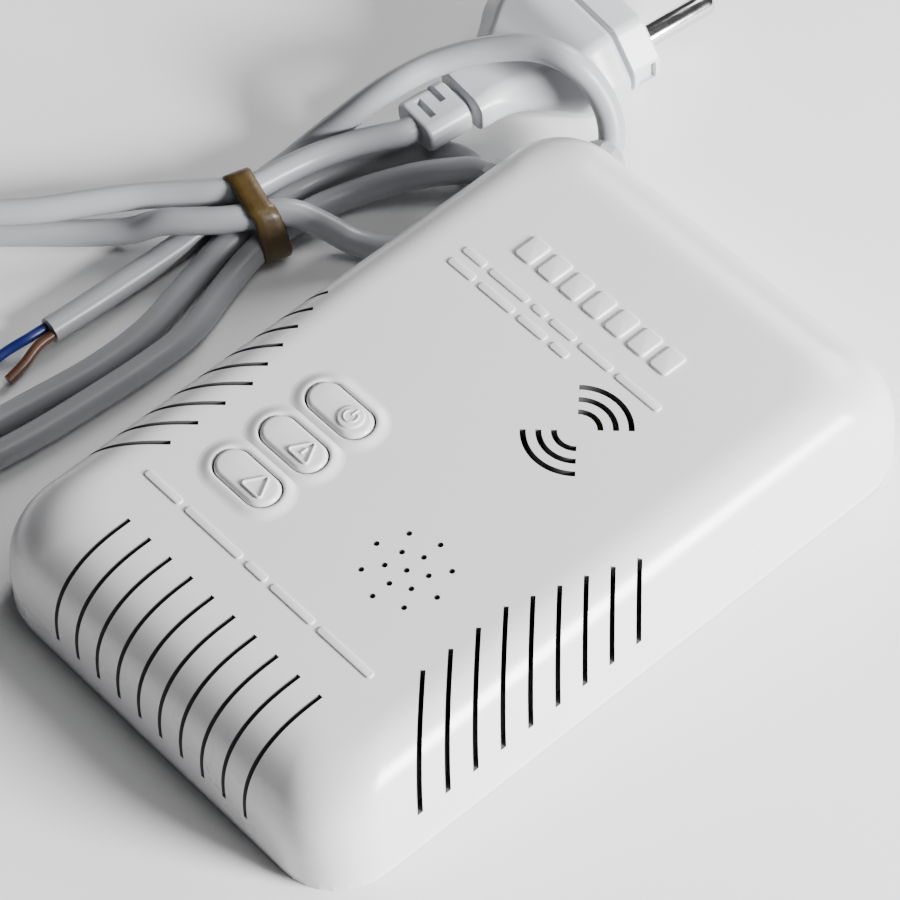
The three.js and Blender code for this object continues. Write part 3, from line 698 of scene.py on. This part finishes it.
def triangle(x, y, reach, round_off=0.5):
    """A triangle with slightly rounded corners, pointing along +Y."""
    made = []
    for k in range(3):
        a = math.pi / 2 + 2 * math.pi * k / 3
        cx, cy = arc_points(x, y, reach - 2 * round_off, [a])[0]
        made += arc_points(cx, cy, round_off, a + np.linspace(-math.pi / 3, math.pi / 3, 7))
    return made


for name, y in zip(("power", "alarm", "fault"), KEY_YS):
    body = f"{name}_button"
    cap = key_cap(name, y)
    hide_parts(f"key_{name}")
    if name == "power":
        disc = pad(5.4, 5.4, 2.68, SYMBOL_X, y, KEY_TOP - 0.3, KEY_TOP + 0.32, 0.35, 12, 5)
        mesh_object("power_key_disc", *disc, "key_white", body, 60)
        arc = arc_points(SYMBOL_X, y, 1.4, np.radians(np.linspace(125, 415, 26)))
        tube("power_key_ring", [(px, py, MARK_TOP) for px, py in arc], 0.22, "key_white", body)
        stroke = [(SYMBOL_X, y + 0.3, MARK_TOP), (SYMBOL_X, y + 1.9, MARK_TOP)]
        tube("power_key_stroke", stroke, 0.22, "key_white", body)
    else:
        ridge(f"{name}_key_triangle", triangle(SYMBOL_X, y - 0.4, 3.2), body)
        if name == "alarm":
            ridge("alarm_key_mark", [(SYMBOL_X, y - 0.9), (SYMBOL_X, y + 0.7)], body, False, 0.24)
print("keys", len(KEY_YS), "each", KEY_LENGTH, "by", KEY_WIDTH, "mm, top at", KEY_TOP, "mm")

# %% [markdown]
# ## The band
# The band is a closed strip round the bundle. Its path is the outline that a stretched band
# takes: straight between the outer strands and round over them. Its edges waver slightly and
# one side is narrower, as on a rubber band that has been wound on by hand.

# %% The band
BAND_AT, BAND_TURN = Vector((-81.2, 19.0, 0)), math.radians(-17)
across = Vector((math.cos(BAND_TURN), math.sin(BAND_TURN), 0))
along = Vector((-math.sin(BAND_TURN), math.cos(BAND_TURN), 0))
# Each strand that the band bends round: its place across the bundle and its height, then the
# angles where the band meets and leaves it.
STRANDS = [
    (-6.9, LOW, 180, 278), (7.2, LOW, 262, 390), (4.3, HIGH, 30, 92), (-4.2, HIGH, 88, 180),
]
BAND_SECTION = (
    (-1, 0), (-1, 0.5), (-0.86, 1), (-0.3, 1.08), (0.3, 1.08), (0.86, 1), (1, 0.5), (1, 0),
)


def band_path(grow):
    """Points round the bundle, as (across, height), at a distance grow from the strands."""
    made = []
    for across_at, height, first, last in STRANDS:
        for u, z in arc_points(across_at, height, CORD + grow, np.radians(np.linspace(first, last, 12))):
            made.append((u, max(z, 0.25 + grow)))
    return made


def band():
    rings = []
    inner, outer = band_path(0.05), band_path(0.85)
    total = len(inner)
    for k, ((ui, zi), (uo, zo)) in enumerate(zip(inner, outer)):
        turn = 2 * math.pi * k / total
        half = 3.0 + 0.35 * math.sin(turn + 0.6) + 0.12 * math.sin(5 * turn)
        lean = 0.7 * math.sin(turn - 1.0)
        section = []
        for s, share in BAND_SECTION:
            u, z = ui + (uo - ui) * share, zi + (zo - zi) * share
            p = BAND_AT + across * u + along * (s * half + lean)
            section.append((p.x, p.y, z))
        rings.append(section)
    return skin(rings, join_ends=True)


tie = mesh_object("band", *band(), "tie_brown", sharp=50)
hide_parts("cord_tie")
print("band", len(tie.data.polygons), "faces")

# %% [markdown]
# ## The plug
# A flat moulded plug: a slotted sleeve at the lead, a waisted shoulder for the fingers, and an
# eight-sided body. It could be cut from a block, but it is drawn as a stack of sections along
# its own line, each an octagon with rounded corners, so that the waist stays smooth.

# %% Sections of the plug
PLUG_AT, PLUG_TURN = Vector((-72.7, 54.5, 10.5)), math.radians(84.3)
ahead = Vector((math.cos(PLUG_TURN), math.sin(PLUG_TURN), 0))
aside = Vector((-math.sin(PLUG_TURN), math.cos(PLUG_TURN), 0))
EASE = 1.4


def section(x, half, rise, cut_wide, cut_tall):
    """One section of the plug: an octagon with eased corners, at x along the plug."""
    cw, ct = min(cut_wide, half * 0.45), min(cut_tall, rise * 0.82)
    raw = [
        (half, -rise + ct), (half, rise - ct), (half - cw, rise), (-half + cw, rise),
        (-half, rise - ct), (-half, -rise + ct), (-half + cw, -rise), (half - cw, -rise),
    ]
    ring = []
    for k, corner in enumerate(raw):
        before, after = np.array(raw[k - 1]), np.array(raw[(k + 1) % 8])
        here = np.array(corner)
        to_before, to_after = np.linalg.norm(before - here), np.linalg.norm(after - here)
        reach = min(EASE, 0.45 * to_before, 0.45 * to_after)
        a = here + (before - here) / to_before * reach
        b = here + (after - here) / to_after * reach
        for t in np.linspace(0, 1, 6):
            q = (1 - t) ** 2 * a + 2 * t * (1 - t) * here + t**2 * b
            p = PLUG_AT + ahead * x + aside * q[0] + Vector((0, 0, q[1]))
            ring.append((p.x, p.y, p.z))
    return ring


def eased(values, x):
    """A smooth value between the given (x, value) pairs."""
    xs, ys = zip(*values)
    slopes = np.gradient(ys, xs)
    k = min(max(np.searchsorted(xs, x) - 1, 0), len(xs) - 2)
    h = xs[k + 1] - xs[k]
    t = (x - xs[k]) / h
    return float(
        (1 + 2 * t) * (1 - t) ** 2 * ys[k] + t * (1 - t) ** 2 * h * slopes[k]
        + t * t * (3 - 2 * t) * ys[k + 1] + t * t * (t - 1) * h * slopes[k + 1]
    )


# %% [markdown]
# The body's half width and half height follow two short lists along its length. A hard front
# piece stands a little off the body and carries the pins. A pin is a turned shape: a collar
# at its foot and a rounded tip.

# %% Profiles of the plug's pieces
BODY_HALF = [(11.9, 6.9), (15.5, 7.2), (21.5, 9.8), (26, 13.2), (29.5, 16.5), (32.5, 18.4), (41, 18.6)]
BODY_RISE = [
    (11.9, 4.2), (15.5, 4.4), (21.5, 5.0), (25.5, 6.6), (28.5, 7.7), (31, 8.8), (33.5, 9.9), (41, 10.1),
]
FRONT_SECTIONS = [
    (41.05, 15.4, 8.0, 6, 6), (41.9, 15.4, 8.0, 6, 6), (41.95, 17.0, 9.0, 6.2, 7),
    (42.4, 17.6, 9.4, 6.4, 7.2), (48.6, 17.6, 9.4, 6.4, 7.2), (49.2, 17.0, 8.9, 6.2, 7),
]
SLEEVE_PROFILE = ((0, 0.7), (0.25, 0.25), (0.8, 0), (9.9, 0), (10.3, 0.4), (10.4, 2), (11.4, 2.4))
PIN_PROFILE = [
    (46, 2.4), (49, 2.4), (49.01, 2.55), (49.6, 2.55), (49.61, 2.4),
    (66.4, 2.4), (67.3, 2.2), (68, 1.7), (68.3, 1.1),
]


def plug_body():
    rings = [section(11.7, 6.3, 3.6, 1.6, 1.6)]
    for x in np.linspace(12, 40.4, 48):
        half, rise = eased(BODY_HALF, x), eased(BODY_RISE, x)
        share = min(max((x - 14) / 18, 0), 1)
        rings.append(section(x, half, rise, 2 + 4.6 * share, 1.6 + 6.1 * share))
    rings.append(section(41, 18.1, 9.6, 6.6, 7.5))
    return skin(rings)


def plug_front():
    return skin([section(*values) for values in FRONT_SECTIONS])


def plug_sleeve():
    return skin([section(x, 6.0 - d, 3.5 - d * 0.7, 1.6, 1.6) for x, d in SLEEVE_PROFILE])


def turned(part):
    """Moves a part drawn along the plug's own axes to the plug's place."""
    points, faces = part
    made = []
    for x, y, z in points:
        p = PLUG_AT + ahead * x + aside * y + Vector((0, 0, z))
        made.append((p.x, p.y, p.z))
    return made, faces


def pin(name, y):
    rings = []
    for x, radius in PIN_PROFILE:
        circle = arc_points(y, 0, radius, np.linspace(0, 2 * math.pi, 32, endpoint=False))
        rings.append([(x, across_at, height) for across_at, height in circle])
    return mesh_object(name, *turned(skin(rings)), "pin_metal", sharp=50)


# %% [markdown]
# ## Plug pieces
# The sleeve has two slots across it, which let it bend, and the front piece a small recess at
# each side.

body = mesh_object("plug_shell", *plug_body(), "plug_grey", sharp=50, weighted=True)
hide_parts("plug_body")
sleeve = mesh_object("plug_neck", *plug_sleeve(), "plug_grey", sharp=50)
slots = [turned(box_cutter(1.5, 5.6, 3, (x, y, 1.6))) for x, y in ((3.2, 0.4), (7.2, 2.6))]
carve(sleeve, slots)
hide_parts("plug_sleeve")
front = mesh_object("plug_front", *plug_front(), "plug_face_grey", sharp=40)
notches = [turned(box_cutter(4.2, 3.4, 4.4, (45.6, y, -2.2))) for y in (-18.1, 18.1)]
carve(front, notches)
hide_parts("plug_face")
for number, y in ((1, -9.5), (2, 9.5)):
    pin(f"pin_{number}", y)
    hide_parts(f"plug_pin_{number}")

# %% [markdown]
# ## Stage
# A pale floor and a pale world, a large soft light from the right that brightens the right
# flank, a weaker one from behind, and a low fill from above. The left end stays darker.

# %% Floor and lights
bpy.ops.mesh.primitive_plane_add(size=6, location=(0, 0, -0.0002))
floor = bpy.context.object
floor.name = "floor"
paper = Shader("floor", (0.9, 0.9, 0.9), 0.7)
floor.data.materials.append(paper.material)

world = bpy.data.worlds.new("studio")
scene.world = world
world.use_nodes = True
world.node_tree.nodes["Background"].inputs["Color"].default_value = (0.93, 0.95, 1.0, 1)
world.node_tree.nodes["Background"].inputs["Strength"].default_value = 0.05


def soft_light(name, at, aim, size, power):
    data = bpy.data.lights.new(name, "AREA")
    data.shape = "DISK"
    data.size = size
    data.energy = power
    made = bpy.data.objects.new(name, data)
    scene.collection.objects.link(made)
    made.location = at
    made.rotation_euler = (Vector(aim) - Vector(at)).to_track_quat("-Z", "Y").to_euler()


soft_light("key", (0.95, 0.36, 0.42), (0, 0, 0.02), 0.4, 52)
soft_light("rim", (-0.3, 0.9, 0.6), (-0.05, 0.03, 0.02), 0.5, 8)
soft_light("fill", (0.25, 0.2, 1.1), (0, 0, 0.02), 0.6, 2.5)
